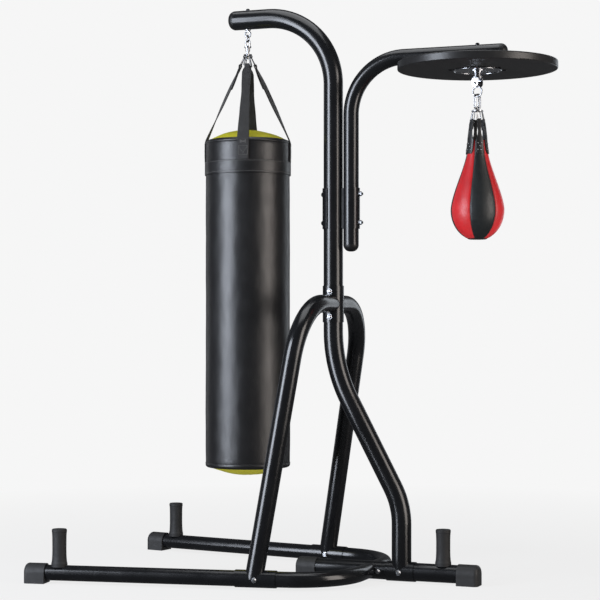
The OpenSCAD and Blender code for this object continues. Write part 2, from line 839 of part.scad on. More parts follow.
// A round plate that gathers the tabs' links: an arch on top hangs it in the two upper links
module gather_plate() {
    slot_w = 4.8;
    slot_len = 12.4;
    slot_mid = tab_link_top_r + (tab_link_top_z - gather_z - gather_t / 2) * tan(tab_lean);
    color("#9da0a4") at_post(board_x, 0) difference() {
        rotate([0, 0, link_turn + 90]) {
            translate([0, 0, gather_arch_z]) half_ring(gather_arch_r, gather_wire);
            for (side = [-1, 1]) translate([side * gather_arch_r, 0, gather_z])
                cylinder(h = gather_arch_z - gather_z, d = gather_wire);
            translate([0, 0, gather_z]) cylinder(h = gather_t, r = gather_r);
        }
        six_ways(tab_turn) translate([slot_mid - slot_w / 2, -slot_len / 2, gather_z - over])
            cube([slot_w, slot_len, gather_t + 2 * over]);
    }
}

// Six wire links, each from a slot in the gathering plate to its own tab
module tab_links() {
    color("#aeb1b5") at_post(board_x, tab_bar_z) six_ways(tab_turn)
        translate([tab_bar_reach, 0, 0]) rotate([0, -tab_lean, 0])
            trapezium_link(8.5, 3.6, (tab_link_top_z - tab_bar_z) / cos(tab_lean), 2, small_wire);
}

// A flat outline in the XZ plane, as a slab of the given width centred on Y = 0
module slab(width) {
    rotate([90, 0, 0]) translate([0, 0, -width / 2]) linear_extrude(width) children();
}

// A folded leather tab: a narrow loop round the link's bar, then a wide tail down onto the skin
module speed_bag_tabs() {
    grip_r = small_wire / 2 + 0.3;
    wide_z = tab_bar_z - grip_r - tab_t;
    tail_z = speed_top_z - 52;
    color("#161616") at_post(board_x, 0) six_ways(tab_turn) {
        slab(13) difference() {
            union() {
                translate([tab_bar_reach, tab_bar_z]) circle(r = grip_r + tab_t);
                translate([tab_bar_reach - grip_r - tab_t, wide_z]) square([2 * (grip_r + tab_t), grip_r + tab_t]);
            }
            translate([tab_bar_reach, tab_bar_z]) circle(r = grip_r);
        }
        slab(22) polygon([
            [tab_bar_reach - tab_t, wide_z], [tab_bar_reach + 1.4 * tab_t, wide_z],
            [speed_r(speed_top_z) + 2 * tab_t, speed_top_z], [speed_r(tail_z) + 2 * tab_t, tail_z],
            [speed_r(tail_z) + 0.6, tail_z], [speed_r(speed_top_z) + 0.6, speed_top_z]
        ]);
    }
}

module tab_rivets() {
    tail_slope = (speed_r(speed_top_z - 52) - speed_r(speed_top_z)) / 52;
    color("#b9bcc0") at_post(board_x, 0) six_ways(tab_turn)
        for (spot = [[-7, -12], [7, -12], [0, -24], [-7, -36], [7, -36]])
            translate([speed_r(speed_top_z) + 2 * tab_t + 0.1 - spot[1] * tail_slope, spot[0], speed_top_z + spot[1]])
                rotate([0, 90 - atan(tail_slope), 0]) dome(2, 1.2);
}

// Outside radius of the pear-shaped bag at a height: a straight neck blending into a round belly

function speed_r(z) =
    z > belly_z
        ? neck_r + (belly_r - neck_r) * pow(cos(90 * pow((z - belly_z) / (speed_top_z - belly_z), 0.8)), 1.65)
        : belly_r * sqrt(max(0, 1 - pow((belly_z - z) / (belly_z - speed_low_z + 6), 2)));

function speed_profile(inset, top) = concat(
    [for (k = [0:12]) let (z = speed_low_z + inset + (belly_z - speed_low_z - inset) * (1 - cos(90 * k / 12)))
        [max(speed_r(z) - inset, 1), z]],
    [for (k = [1:16]) let (z = belly_z + (top - belly_z) * k / 16) [speed_r(z) - inset, z]]
);

module speed_bag_solid(inset, top) {
    rotate_extrude() polygon(concat([[0, speed_low_z + inset]], speed_profile(inset, top), [[0, top]]));
}

module speed_bag_shell() {
    color("#8f1f22") at_post(board_x, 0) difference() {
        speed_bag_solid(0, speed_top_z);
        speed_bag_solid(skin_t, speed_top_z - skin_t);
    }
}

module speed_bag_bladder() {
    color("#3a3a3a") at_post(board_x, 0) difference() {
        speed_bag_solid(skin_t + 0.5, speed_top_z - 60);
        speed_bag_solid(skin_t + 2.5, speed_top_z - 62);
    }
}

// ---------- heavy bag hanger ----------

module hanger_eye_bolt() {
    color("#cdd0d3") at_post(-bag_x, 0) {
        translate([0, 0, eye_z]) full_ring(eye_r, eye_wire);
        translate([0, 0, eye_z + eye_r]) cylinder(h = top_arm_z + post_d / 2 + 6.5 - eye_z - eye_r, d = 10);
        translate([0, 0, arm_under_z - 3]) cylinder(h = 3, d = 24);
        translate([0, 0, top_arm_z + post_d / 2]) cylinder(h = 4.5, r = 8, $fn = 6);
    }
}

module hanger_link() {
    color("#cdd0d3") at_post(-bag_x, 0) rotate([0, 0, 90]) oval_link(hang_top_z, hang_low_z, hang_r, hang_wire);
}

// A bow that hangs in the link and carries a round plate with the swivel's bore
module swivel_bow() {
    color("#c3c5c8") at_post(-bag_x, 0) difference() {
        union() {
            translate([0, 0, bow_top_z - hang_r]) half_ring(hang_r, hang_wire);
            for (side = [-1, 1]) translate([side * hang_r, 0, bow_plate_z])
                cylinder(h = bow_top_z - hang_r - bow_plate_z, d = hang_wire);
            translate([0, 0, bow_plate_z]) cylinder(h = bow_plate_t, d = 28);
        }
        translate([0, 0, bow_plate_z - over]) cylinder(h = 4 * bow_plate_t, d = hub_bolt_d + 0.1);
    }
}

// A cross-shaped hub: four radial lugs, each with a hole for one strap's link
module strap_hub() {
    lug_low = lug_hole_z - 8;
    color("#bfc2c6") at_post(-bag_x, 0) difference() {
        union() {
            translate([0, 0, lug_low]) cylinder(h = hub_top_z - lug_low, d = hub_d - 6);
            translate([0, 0, hub_top_z - 14]) cylinder(h = 14, d = hub_d);
            four_ways(strap_turn) {
                translate([0, -lug_t / 2, lug_low]) cube([lug_hole_r + 4, lug_t, 18]);
                translate([lug_hole_r, 0, lug_hole_z]) along_y(lug_t, 14);
            }
        }
        four_ways(strap_turn) translate([lug_hole_r, 0, lug_hole_z]) along_y(2 * lug_t, strap_link_wire + 1.5);
        translate([0, 0, hub_top_z - 20]) cylinder(h = 30, d = hub_bolt_d);
    }
}

module hub_bolt() {
    head_z = bow_plate_z + bow_plate_t + 0.5;
    color("#dcdde0") at_post(-bag_x, 0) {
        translate([0, 0, hub_top_z - 20]) cylinder(h = head_z - hub_top_z + 20, d = hub_bolt_d);
        translate([0, 0, head_z]) cylinder(h = 5, d = 11);
    }
}

// Four wire links, each from a lug's hole down to its strap's loop
module strap_links() {
    color("#d5d7da") at_post(-bag_x, strap_top_z) four_ways(strap_turn)
        translate([strap_bar_r, 0, 0]) rotate([0, -strap_lean, 0])
            trapezium_link(13, 6, (lug_hole_z - strap_top_z) / cos(strap_lean), 3, strap_link_wire);
}

// One strap: a narrow loop round its link, a slanting run to the bag's shoulder, a tail down its side
module bag_straps() {
    grip_r = strap_link_wire / 2 + 0.3;
    loop_r = grip_r + strap_t;
    wide_z = strap_top_z - loop_r;
    shoulder = bag_r + 0.6;
    color("#191919") at_post(-bag_x, 0) four_ways(strap_turn) {
        slab(19) difference() {
            union() {
                translate([strap_bar_r, strap_top_z]) circle(r = loop_r);
                translate([strap_bar_r - loop_r, wide_z]) square([2 * loop_r, loop_r]);
            }
            translate([strap_bar_r, strap_top_z]) circle(r = grip_r);
        }
        slab(strap_w) polygon([
            [strap_bar_r, wide_z], [strap_bar_r + loop_r, wide_z],
            [shoulder + strap_t, bag_high_z + 2.5], [shoulder + strap_t, band_high_z],
            [shoulder, band_high_z], [shoulder, bag_high_z + 1.5]
        ]);
    }
}

// ---------- heavy bag ----------

module heavy_bag_band() {
    color("#161616") at_post(-bag_x, band_low_z) difference() {
        cylinder(h = band_high_z - band_low_z - 0.5, r = bag_r + band_t);
        translate([0, 0, -over]) cylinder(h = 2 * band_high_z, r = bag_r);
    }
}

module heavy_bag_shell() {
    color("#1a1a1b") at_post(-bag_x, bag_low_z) difference() {
        cylinder(h = bag_high_z - bag_low_z, r = bag_r);
        translate([0, 0, -over]) cylinder(h = bag_high_z, r = bag_r - bag_skin_t);
    }
}

module heavy_bag_top() {
    color("#c8c21a") at_post(-bag_x, bag_high_z) difference() {
        dome(bag_r, top_rise);
        translate([0, 0, -0.01]) dome(bag_r - bag_skin_t, top_rise - bag_skin_t);
    }
}

module heavy_bag_bottom() {
    color("#c8c21a") at_post(-bag_x, bag_low_z) mirror([0, 0, 1]) difference() {
        dome(bag_r, bottom_fall);
        translate([0, 0, -0.01]) dome(bag_r - bag_skin_t, bottom_fall - bag_skin_t);
    }
}

module heavy_bag_fill() {
    inner = bag_r - bag_skin_t - fill_gap;
    color("#8a8a86") at_post(-bag_x, bag_low_z) {
        cylinder(h = bag_high_z - bag_low_z, r = inner);
        translate([0, 0, bag_high_z - bag_low_z]) dome(inner, top_rise - bag_skin_t - fill_gap);
        mirror([0, 0, 1]) dome(inner, bottom_fall - bag_skin_t - fill_gap);
    }
}

upper_post();
upper_post_cap();
centre_sleeve();
centre_sleeve_bolts();
arch_front_leg();
arch_rear_leg();
lower_post();
post_foot_sleeve();
base_u_bend();
inner_stub();
inner_stub_cap();
beam_socket();
joining_spigot();
rear_leg();
rear_leg_cap();
beam_bolts();
front_rail();
rear_rail();
front_rail_sleeve();
rear_rail_sleeve();
rail_sleeve_bolts();
front_rail_cap();
rear_rail_cap();
peg_stubs();
weight_peg_grips();
platform_arm();
arm_bottom_cap();
arm_end_cap();
clamp_spacer();
post_saddle();
arm_saddle();
clamp_bolts();
clamp_nuts();
platform_bracket();
platform_board();
bracket_bolts();
swivel_plate();
swivel_plate_screws();
swivel_stem();
swivel_yoke();
yoke_pin();
hook_ring();
upper_links();
gather_plate();
tab_links();
speed_bag_tabs();
tab_rivets();
speed_bag_shell();
speed_bag_bladder();
hanger_eye_bolt();
hanger_link();
swivel_bow();
strap_hub();
hub_bolt();
strap_links();
bag_straps();
heavy_bag_band();
heavy_bag_shell();
heavy_bag_top();
heavy_bag_bottom();
heavy_bag_fill();
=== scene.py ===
"""The two-station boxing stand: camera, light, materials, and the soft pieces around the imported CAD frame."""
import math

import bpy
import numpy as np
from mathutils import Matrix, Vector, noise


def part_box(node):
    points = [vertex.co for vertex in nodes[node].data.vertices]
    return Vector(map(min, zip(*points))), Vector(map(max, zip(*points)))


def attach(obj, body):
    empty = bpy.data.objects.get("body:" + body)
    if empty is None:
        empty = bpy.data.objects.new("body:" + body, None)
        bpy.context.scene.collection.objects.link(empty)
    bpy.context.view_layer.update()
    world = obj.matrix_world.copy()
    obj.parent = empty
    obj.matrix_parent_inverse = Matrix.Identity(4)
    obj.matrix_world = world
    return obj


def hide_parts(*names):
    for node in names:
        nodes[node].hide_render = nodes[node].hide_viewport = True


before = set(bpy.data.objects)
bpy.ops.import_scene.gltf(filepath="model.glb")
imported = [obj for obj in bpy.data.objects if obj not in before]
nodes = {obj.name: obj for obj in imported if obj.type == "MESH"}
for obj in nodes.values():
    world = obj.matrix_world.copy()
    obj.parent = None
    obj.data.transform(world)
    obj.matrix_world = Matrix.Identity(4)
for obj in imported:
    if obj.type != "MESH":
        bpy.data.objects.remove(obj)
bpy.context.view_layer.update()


scene = bpy.context.scene


# ---------- camera, light, floor ----------

camera = bpy.data.objects.new("camera", bpy.data.cameras.new("camera"))
scene.collection.objects.link(camera)
scene.camera = camera
camera.location = (2.5234, -6.5563, 1.0102)
camera.rotation_euler = (math.radians(90), 0, math.radians(21.446))
camera.data.sensor_width = 36
camera.data.lens = 106.83
camera.data.shift_y = 0.0342
camera.data.clip_end = 200
scene.view_settings.view_transform = "Standard"

FRONT = -68.9  # azimuth of the camera seen from the stand, in degrees
AIM_HEIGHT = 1.15  # what every light points at, on the stand's middle line


def soft_box(name, turn, distance, height, size, radiance, colour):
    """A rectangular soft light, turned from the camera's side by the given angle."""
    a = math.radians(FRONT + turn)
    light = bpy.data.lights.new(name, "AREA")
    light.shape = "RECTANGLE"
    light.size, light.size_y = size
    light.energy = radiance * math.pi * size[0] * size[1]
    light.color = colour
    box = bpy.data.objects.new(name, light)
    scene.collection.objects.link(box)
    box.location = (distance * math.cos(a), distance * math.sin(a), height)
    box.rotation_euler = (Vector((0, 0, AIM_HEIGHT)) - box.location).to_track_quat("-Z", "Y").to_euler()
    box.visible_camera = False


soft_box("light_left", -58, 5.0, 1.75, (2.1, 4.2), 13.0, (0.83, 0.89, 1.0))
soft_box("light_right", 58, 5.0, 1.75, (2.3, 4.2), 5.2, (1.0, 0.92, 0.86))
soft_box("light_rim", 142, 5.0, 1.9, (1.2, 4.0), 1.5, (0.88, 0.94, 1.0))
soft_box("light_rim_left", -140, 5.0, 1.9, (0.8, 4.0), 0.8, (0.95, 0.97, 1.0))
soft_box("light_top", 0, 0.3, 5.2, (3.4, 3.4), 2.4, (0.95, 0.97, 1.0))

world = bpy.data.worlds.new("studio")
scene.world = world
world.use_nodes = True
world.node_tree.nodes["Background"].inputs["Color"].default_value = (0.93, 0.95, 1.0, 1)
world.node_tree.nodes["Background"].inputs["Strength"].default_value = 0.08


def mesh_object(name, verts, faces, smooth=True, sharp=None):
    mesh = bpy.data.meshes.new(name)
    mesh.from_pydata([tuple(v) for v in verts], [], [tuple(f) for f in faces])
    mesh.validate()
    if smooth:
        mesh.polygons.foreach_set("use_smooth", [True] * len(mesh.polygons))
        if sharp:
            mesh.set_sharp_from_angle(angle=math.radians(sharp))
    mesh.update()
    made = bpy.data.objects.new(name, mesh)
    scene.collection.objects.link(made)
    return made


BACKDROP = (0.922, 0.922, 0.922, 1)


def disc(name, rings, segments, z):
    verts, faces = [(0, 0, z)], []
    for r in rings:
        turns = [2 * math.pi * k / segments for k in range(segments)]
        verts += [(r * math.cos(a), r * math.sin(a), z) for a in turns]
    for k in range(segments):
        faces.append((0, 1 + k, 1 + (k + 1) % segments))
        for j in range(len(rings) - 1):
            a, b = 1 + j * segments, 1 + (j + 1) * segments
            faces.append((a + k, b + k, b + (k + 1) % segments, a + (k + 1) % segments))
    return mesh_object(name, verts, faces, smooth=False)


floor = disc("floor", [1.5, 3, 6, 12, 40], 96, -0.0006)
floor_mat = bpy.data.materials.new("floor")
floor_mat.use_nodes = True
tree = floor_mat.node_tree
tree.nodes.clear()
out = tree.nodes.new("ShaderNodeOutputMaterial")
mix = tree.nodes.new("ShaderNodeMixShader")
glow = tree.nodes.new("ShaderNodeEmission")
glow.inputs["Color"].default_value = BACKDROP
matte = tree.nodes.new("ShaderNodeBsdfDiffuse")
matte.inputs["Color"].default_value = (0.62, 0.62, 0.62, 1)
place = tree.nodes.new("ShaderNodeTexCoord")
far = tree.nodes.new("ShaderNodeVectorMath")
far.operation = "LENGTH"
fade = tree.nodes.new("ShaderNodeMapRange")
fade.inputs["From Min"].default_value = 1.2
fade.inputs["From Max"].default_value = 4.0
fade.inputs["To Min"].default_value = 0.86
fade.inputs["To Max"].default_value = 1.0
tree.links.new(place.outputs["Object"], far.inputs[0])
tree.links.new(far.outputs["Value"], fade.inputs["Value"])
tree.links.new(fade.outputs["Result"], mix.inputs["Fac"])
tree.links.new(matte.outputs["BSDF"], mix.inputs[1])
tree.links.new(glow.outputs["Emission"], mix.inputs[2])
tree.links.new(mix.outputs["Shader"], out.inputs["Surface"])
floor.data.materials.append(floor_mat)
floor.visible_glossy = False

SKY_RADIUS, SKY_BANDS, SKY_COLUMNS = 45, 12, 48
around, sky_faces = [], []
for i in range(SKY_BANDS + 1):
    for k in range(SKY_COLUMNS):
        e, a = math.radians(-90 + 15 * i), 2 * math.pi * k / SKY_COLUMNS
        around.append((SKY_RADIUS * math.cos(e) * math.cos(a), SKY_RADIUS * math.cos(e) * math.sin(a),
                       SKY_RADIUS * math.sin(e)))
for i in range(SKY_BANDS):
    for k in range(SKY_COLUMNS):
        a, b = i * SKY_COLUMNS + k, i * SKY_COLUMNS + (k + 1) % SKY_COLUMNS
        sky_faces.append((a, a + SKY_COLUMNS, b + SKY_COLUMNS, b))
backdrop = mesh_object("backdrop", around, sky_faces)
back_mat = bpy.data.materials.new("backdrop")
back_mat.use_nodes = True
back_mat.node_tree.nodes.clear()
back_out = back_mat.node_tree.nodes.new("ShaderNodeOutputMaterial")
back_glow = back_mat.node_tree.nodes.new("ShaderNodeEmission")
back_glow.inputs["Color"].default_value = BACKDROP
back_mat.node_tree.links.new(back_glow.outputs["Emission"], back_out.inputs["Surface"])
backdrop.data.materials.append(back_mat)
for kind in ("visible_glossy", "visible_diffuse", "visible_shadow", "visible_transmission"):
    setattr(backdrop, kind, False)


# ---------- materials ----------

class Look:
    """A Principled material with the object's own coordinates, in metres, behind every pattern."""

    def __init__(self, name, colour, rough, metal=0.0, **fixed):
        self.mat = bpy.data.materials.new(name)
        self.mat.use_nodes = True
        self.tree = self.mat.node_tree
        self.bsdf = self.tree.nodes["Principled BSDF"]
        self.coords = self.node("ShaderNodeTexCoord").outputs["Object"]
        self.last_bump = None
        self.set(self.bsdf, "Base Color", (*colour, 1))
        self.set(self.bsdf, "Roughness", rough)
        self.set(self.bsdf, "Metallic", metal)
        for key, value in fixed.items():
            self.set(self.bsdf, key.replace("_", " ").title().replace("Ior", "IOR"), value)

    def node(self, kind, **props):
        made = self.tree.nodes.new(kind)
        for key, value in props.items():
            setattr(made, key, value)
        return made

    @staticmethod
    def set(made, key, value):
        made.inputs[key].default_value = value

    def link(self, a, b):
        self.tree.links.new(a, b)

    def along(self, stretch):
        if stretch is None:
            return self.coords
        made = self.node("ShaderNodeMapping")
        self.set(made, "Scale", stretch)
        self.link(self.coords, made.inputs["Vector"])
        return made.outputs["Vector"]

    def noise(self, scale, detail=3.0, rough=0.55, stretch=None):
        made = self.node("ShaderNodeTexNoise")
        self.set(made, "Scale", scale)
        self.set(made, "Detail", detail)
        self.set(made, "Roughness", rough)
        self.link(self.along(stretch), made.inputs["Vector"])
        return made.outputs["Fac"]

    def cells(self, scale, feature="F1"):
        made = self.node("ShaderNodeTexVoronoi", feature=feature)
        self.set(made, "Scale", scale)
        self.link(self.coords, made.inputs["Vector"])
        return made.outputs["Distance"]

    def spread(self, value, low, high, to_low, to_high):
        made = self.node("ShaderNodeMapRange")
        for key, number in (("From Min", low), ("From Max", high), ("To Min", to_low), ("To Max", to_high)):
            self.set(made, key, number)
        self.link(value, made.inputs["Value"])
        return made.outputs["Result"]

    def tint(self, fac, other):
        """Mixes another colour into the base colour by fac; the mix's sockets 6 and 7 are its two colours."""
        made = self.node("ShaderNodeMix", data_type="RGBA", blend_type="MIX")
        before = self.bsdf.inputs["Base Color"]
        if before.is_linked:
            self.link(before.links[0].from_socket, made.inputs["A"])
        else:
            made.inputs[6].default_value = before.default_value
        made.inputs[7].default_value = (*other, 1)
        self.link(fac, made.inputs[0])
        self.link(made.outputs[2], before)

    def roughness(self, value):
        self.link(value, self.bsdf.inputs["Roughness"])

    def bump(self, height, distance, strength=1.0, invert=False):
        made = self.node("ShaderNodeBump", invert=invert)
        self.set(made, "Distance", distance)
        self.set(made, "Strength", strength)
        self.link(height, made.inputs["Height"])
        if self.last_bump:
            self.link(self.last_bump, made.inputs["Normal"])
        self.last_bump = made.outputs["Normal"]
        self.link(self.last_bump, self.bsdf.inputs["Normal"])

    def height(self):
        """Height above the floor at rest, which a piece keeps as it moves."""
        made = self.node("ShaderNodeSeparateXYZ")
        self.link(self.coords, made.inputs["Vector"])
        return made.outputs["Z"]

    def facing_up(self):
        made = self.node("ShaderNodeNewGeometry")
        split = self.node("ShaderNodeSeparateXYZ")
        self.link(made.outputs["Normal"], split.inputs["Vector"])
        return split.outputs["Z"]

    def uv(self):
        return self.node("ShaderNodeUVMap", uv_map="metres").outputs["UV"]

    def waves(self, scale, direction, coords):
        made = self.node("ShaderNodeTexWave", wave_type="BANDS", bands_direction=direction)
        self.set(made, "Scale", scale)
        self.link(coords, made.inputs["Vector"])
        return made.outputs["Fac"]

    def times(self, a, b, operation="MULTIPLY"):
        made = self.node("ShaderNodeMath", operation=operation)
        for i, value in enumerate((a, b)):
            if isinstance(value, (int, float)):
                made.inputs[i].default_value = value
            else:
                self.link(value, made.inputs[i])
        return made.outputs["Value"]


def shade(colour, gain, lift=0.0):
    return tuple(min(1, c * gain + lift) for c in colour)


def paint(name, colour, rough, coat=0.1):
    """Powder coat: a fine orange peel, a few softer patches, and faint dust towards the floor."""
    look = Look(name, colour, rough, coat_weight=coat, coat_roughness=0.2)
    peel = look.noise(520, 2.0)
    look.bump(peel, 0.00006, 0.3)
    look.bump(look.noise(28, 2.0), 0.0003, 0.1)
    look.roughness(look.spread(look.noise(14, 4.0), 0.3, 0.7, rough - 0.03, rough + 0.05))
    look.tint(look.spread(look.noise(9, 5.0), 0.45, 0.8, 0.0, 0.35), shade(colour, 2.1, 0.003))
    scuffs = look.times(look.spread(look.noise(90, 6.0, 0.7, (1, 1, 0.25)), 0.66, 0.74, 0.0, 0.25),
                        look.spread(look.height(), 0.0, 0.5, 1.0, 0.15))
    look.tint(scuffs, (0.06, 0.06, 0.062))
    return look.mat


def moulded(name, colour, rough, grain=900, depth=0.00018):
    """Moulded plastic or rubber: a spark-eroded grain and rubbed patches."""
    look = Look(name, colour, rough, specular_ior_level=0.4)
    look.bump(look.cells(grain), depth, 0.6)
    look.bump(look.noise(260, 4.0), 0.00012, 0.6)
    look.roughness(look.spread(look.noise(40, 4.0), 0.3, 0.7, rough - 0.08, rough + 0.1))
    look.tint(look.spread(look.noise(55, 6.0, 0.65), 0.5, 0.75, 0.0, 0.5), shade(colour, 1.6, 0.004))
    return look.mat


def metal(name, colour, rough, brushed=None, stain=0.25, black_above=None):
    look = Look(name, colour, rough, metal=1.0)
    smears = look.noise(120, 5.0, 0.6, brushed)
    look.roughness(look.spread(smears, 0.3, 0.7, max(0.03, rough - 0.06), rough + 0.12))
    look.bump(look.noise(900, 3.0, 0.6, brushed), 0.00008, 0.5)
    look.tint(look.spread(look.noise(70, 5.0), 0.5, 0.8, 0.0, stain), shade(colour, 0.45))
    if black_above:
        above = look.spread(look.height(), black_above, black_above + 0.001, 0.0, 1.0)
        look.tint(above, (0.01, 0.01, 0.011))
    return look.mat


def leather(name, colour, rough, coat=0.25):
    """Glazed leather: pebble grain, finer pores, creases, and a worn, lighter bloom on the high grain."""
    look = Look(name, colour, rough, coat_weight=coat, coat_roughness=0.22)
    pebble = look.cells(620, "SMOOTH_F1")
    look.bump(look.noise(70, 5.0, 0.6), 0.0009, 0.35)
    look.bump(pebble, 0.00035, 0.6, invert=True)
    look.bump(look.noise(2400, 2.0), 0.00006, 0.5)
    look.roughness(look.spread(look.noise(60, 5.0), 0.3, 0.7, rough - 0.07, rough + 0.1))
    look.tint(look.spread(look.noise(24, 5.0, 0.6), 0.35, 0.75, 0.0, 0.45), shade(colour, 0.55))
    look.tint(look.spread(pebble, 0.0, 0.35, 0.14, 0.0), shade(colour, 1.5, 0.012))
    return look.mat


def vinyl(name, colour, rough, lighter=1.5):
    """Grained, coated vinyl: an embossed cell grain over cloth, with soft waves from the filling, and painted
    shade darkening the grain's grooves.
    """
    look = Look(name, colour, rough, coat_weight=0.12, coat_roughness=0.32)
    grain = look.cells(430, "F1")
    look.bump(look.noise(11, 3.0), 0.004, 0.16)
    look.bump(look.noise(46, 4.0), 0.0012, 0.22)
    look.bump(grain, 0.0006, 0.55, invert=True)
    look.bump(look.noise(1500, 3.0), 0.0001, 0.6)
    look.roughness(look.spread(look.noise(18, 5.0), 0.3, 0.7, rough - 0.05, rough + 0.07))
    look.tint(look.spread(look.noise(7, 6.0, 0.6), 0.4, 0.75, 0.0, 0.4), shade(colour, lighter))
    # painted shade: darkens the grooves between the grain's cells, where the bump is lowest
    look.tint(look.spread(grain, 0.25, 0.6, 0.0, 0.35), shade(colour, 0.5))
    return look.mat


def webbing(name, colour):
    """Woven strap: ribs along the run, picks across it, and a little fuzz, from the strap's own map; the
    weave's low parts carry painted shade.
    """
    look = Look(name, colour, 0.62, sheen_weight=0.2, sheen_roughness=0.4)
    uv = look.uv()
    ribs = look.waves(130, "X", uv)
    picks = look.waves(105, "Y", uv)
    weave = look.times(ribs, look.spread(picks, 0, 1, 0.35, 1.0))
    look.bump(weave, 0.0006, 0.9)
    look.bump(look.noise(1800, 4.0), 0.00012, 0.7)
    # painted shade: darkens the low parts of the weave between ribs and picks
    look.tint(look.spread(weave, 0.0, 0.9, 0.55, 0.0), shade(colour, 0.35))
    look.tint(look.spread(look.noise(35, 6.0), 0.45, 0.8, 0.0, 0.4), shade(colour, 1.9, 0.006))
    return look.mat


def board(name):
    """Laminated board: a leathery matte face below and above, and a smoother rolled rim."""
    look = Look(name, (0.013, 0.013, 0.0135), 0.5, specular_ior_level=0.45)
    flat = look.times(look.facing_up(), 0.0, "ABSOLUTE")
    flat = look.spread(flat, 0.75, 0.98, 0.0, 1.0)
    pores = look.noise(420, 5.0, 0.7, (1, 0.12, 1))
    look.bump(pores, 0.0003, 0.55)
    look.bump(look.noise(700, 3.0), 0.0001, 0.5)
    look.roughness(look.times(look.spread(flat, 0, 1, 0.34, 0.58), look.spread(pores, 0.3, 0.7, 0.94, 1.08)))
    scuffs = look.noise(60, 6.0, 0.65, (1, 0.1, 1))
    look.tint(look.spread(scuffs, 0.5, 0.75, 0.0, 0.35), (0.028, 0.027, 0.027))
    return look.mat


def thread(name, colour):
    look = Look(name, colour, 0.6, sheen_weight=0.3, sheen_roughness=0.4)
    look.bump(look.noise(2600, 3.0), 0.0002, 0.8)
    look.tint(look.spread(look.noise(500, 4.0), 0.4, 0.7, 0.0, 0.6), shade(colour, 0.55))
    return look.mat


def shredded(name):
    look = Look(name, (0.25, 0.25, 0.24), 0.9, sheen_weight=0.4)
    look.bump(look.noise(120, 8.0, 0.75), 0.004, 1.0)
    look.tint(look.cells(90), (0.06, 0.07, 0.09))
    return look.mat


LOOKS = {
    "frame_paint": paint("frame_paint", (0.0045, 0.0049, 0.0058), 0.215),
    "dark_steel": paint("dark_steel", (0.0068, 0.007, 0.0078), 0.36, coat=0.15),
    "bright_steel": metal("bright_steel", (0.55, 0.56, 0.58), 0.26),
    "chrome": metal("chrome", (0.46, 0.47, 0.49), 0.18, stain=0.3),
    "black_bolt": metal("black_bolt", (0.035, 0.036, 0.04), 0.38),
    "cap_plastic": moulded("cap_plastic", (0.019, 0.019, 0.0195), 0.56),
    "plug_plastic": moulded("plug_plastic", (0.006, 0.006, 0.0065), 0.42),
    "grip_rubber": moulded("grip_rubber", (0.016, 0.016, 0.0165), 0.62, grain=650, depth=0.00025),
    "board_wood": board("board_wood"),
    "bag_leather": leather("bag_leather", (0.55, 0.012, 0.016), 0.42, coat=0.1),
    "tab_leather": leather("tab_leather", (0.0095, 0.0098, 0.0105), 0.42, coat=0.15),
    "bladder_rubber": moulded("bladder_rubber", (0.02, 0.02, 0.02), 0.6),
    "bag_vinyl": vinyl("bag_vinyl", (0.0088, 0.0088, 0.0095), 0.33),
    "yellow_vinyl": vinyl("yellow_vinyl", (0.56, 0.52, 0.008), 0.42, lighter=1.15),
    "webbing": webbing("webbing", (0.012, 0.012, 0.0125)),
    "shredded_fill": shredded("shredded_fill"),
}
BLACK_LEATHER = leather("bag_leather_black", (0.0105, 0.0135, 0.0145), 0.44, coat=0.1)
THREAD = thread("grey_thread", (0.115, 0.113, 0.108))
BLACK_THREAD = thread("black_thread", (0.02, 0.02, 0.021))

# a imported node's material is named after its slot
for node in nodes.values():
    for s in node.material_slots:
        s.material = LOOKS[s.material.name.split(".")[0]]
# the two hanging bolts have blackened nuts and ends on top of their arms
for name, colour, rough, nut in (("hanger_eye_bolt", (0.50, 0.51, 0.53), 0.26, 0.0070),
                                 ("swivel_stem", (0.46, 0.47, 0.49), 0.18, 0.0075)):
    two_tone = metal(name + "_finish", colour, rough, black_above=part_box(name)[1].z - nut)
    for s in nodes[name].material_slots:
        s.material = two_tone


# ---------- helpers for soft pieces ----------

def ring_lathe(name, centre, profile, angles, move=None):
    """Turns a profile of (radius, height) round a vertical axis; move(angle, radius, height) adds to both."""
    n = len(angles)
    verts, faces = [], []
    for r, z in profile:
        for a in angles:
            dr, dz = move(a, r, z) if move else (0.0, 0.0)
            rr = max(r + dr, 0.0002) if r > 0.0002 else r
            verts.append((centre[0] + rr * math.cos(a), centre[1] + rr * math.sin(a), z + dz))
    for i in range(len(profile) - 1):
        for k in range(n):
            a, b = i * n + k, i * n + (k + 1) % n
            faces.append((a, b, b + n, a + n))
    return mesh_object(name, verts, faces, sharp=50)


def even(count):
    return [2 * math.pi * k / count for k in range(count)]


def finish_piece(piece, body, slot, *looks, replaced=()):
    for look in looks:
        piece.data.materials.append(look)
    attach(piece, body)
    if replaced:
        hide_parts(*replaced)
    return piece


# a strap's cross-section with rolled edges, in half widths and half thicknesses
CROSS = [(-1, 0), (-0.99, 0.55), (-0.955, 0.92), (-0.86, 1), (-0.6, 1), (-0.3, 1), (0, 1), (0.3, 1), (0.6, 1),
         (0.86, 1), (0.955, 0.92), (0.99, 0.55), (1, 0), (0.99, -0.55), (0.955, -0.92), (0.86, -1), (0.6, -1),
         (0.3, -1), (0, -1), (-0.3, -1), (-0.6, -1), (-0.86, -1), (-0.955, -0.92), (-0.99, -0.55)]


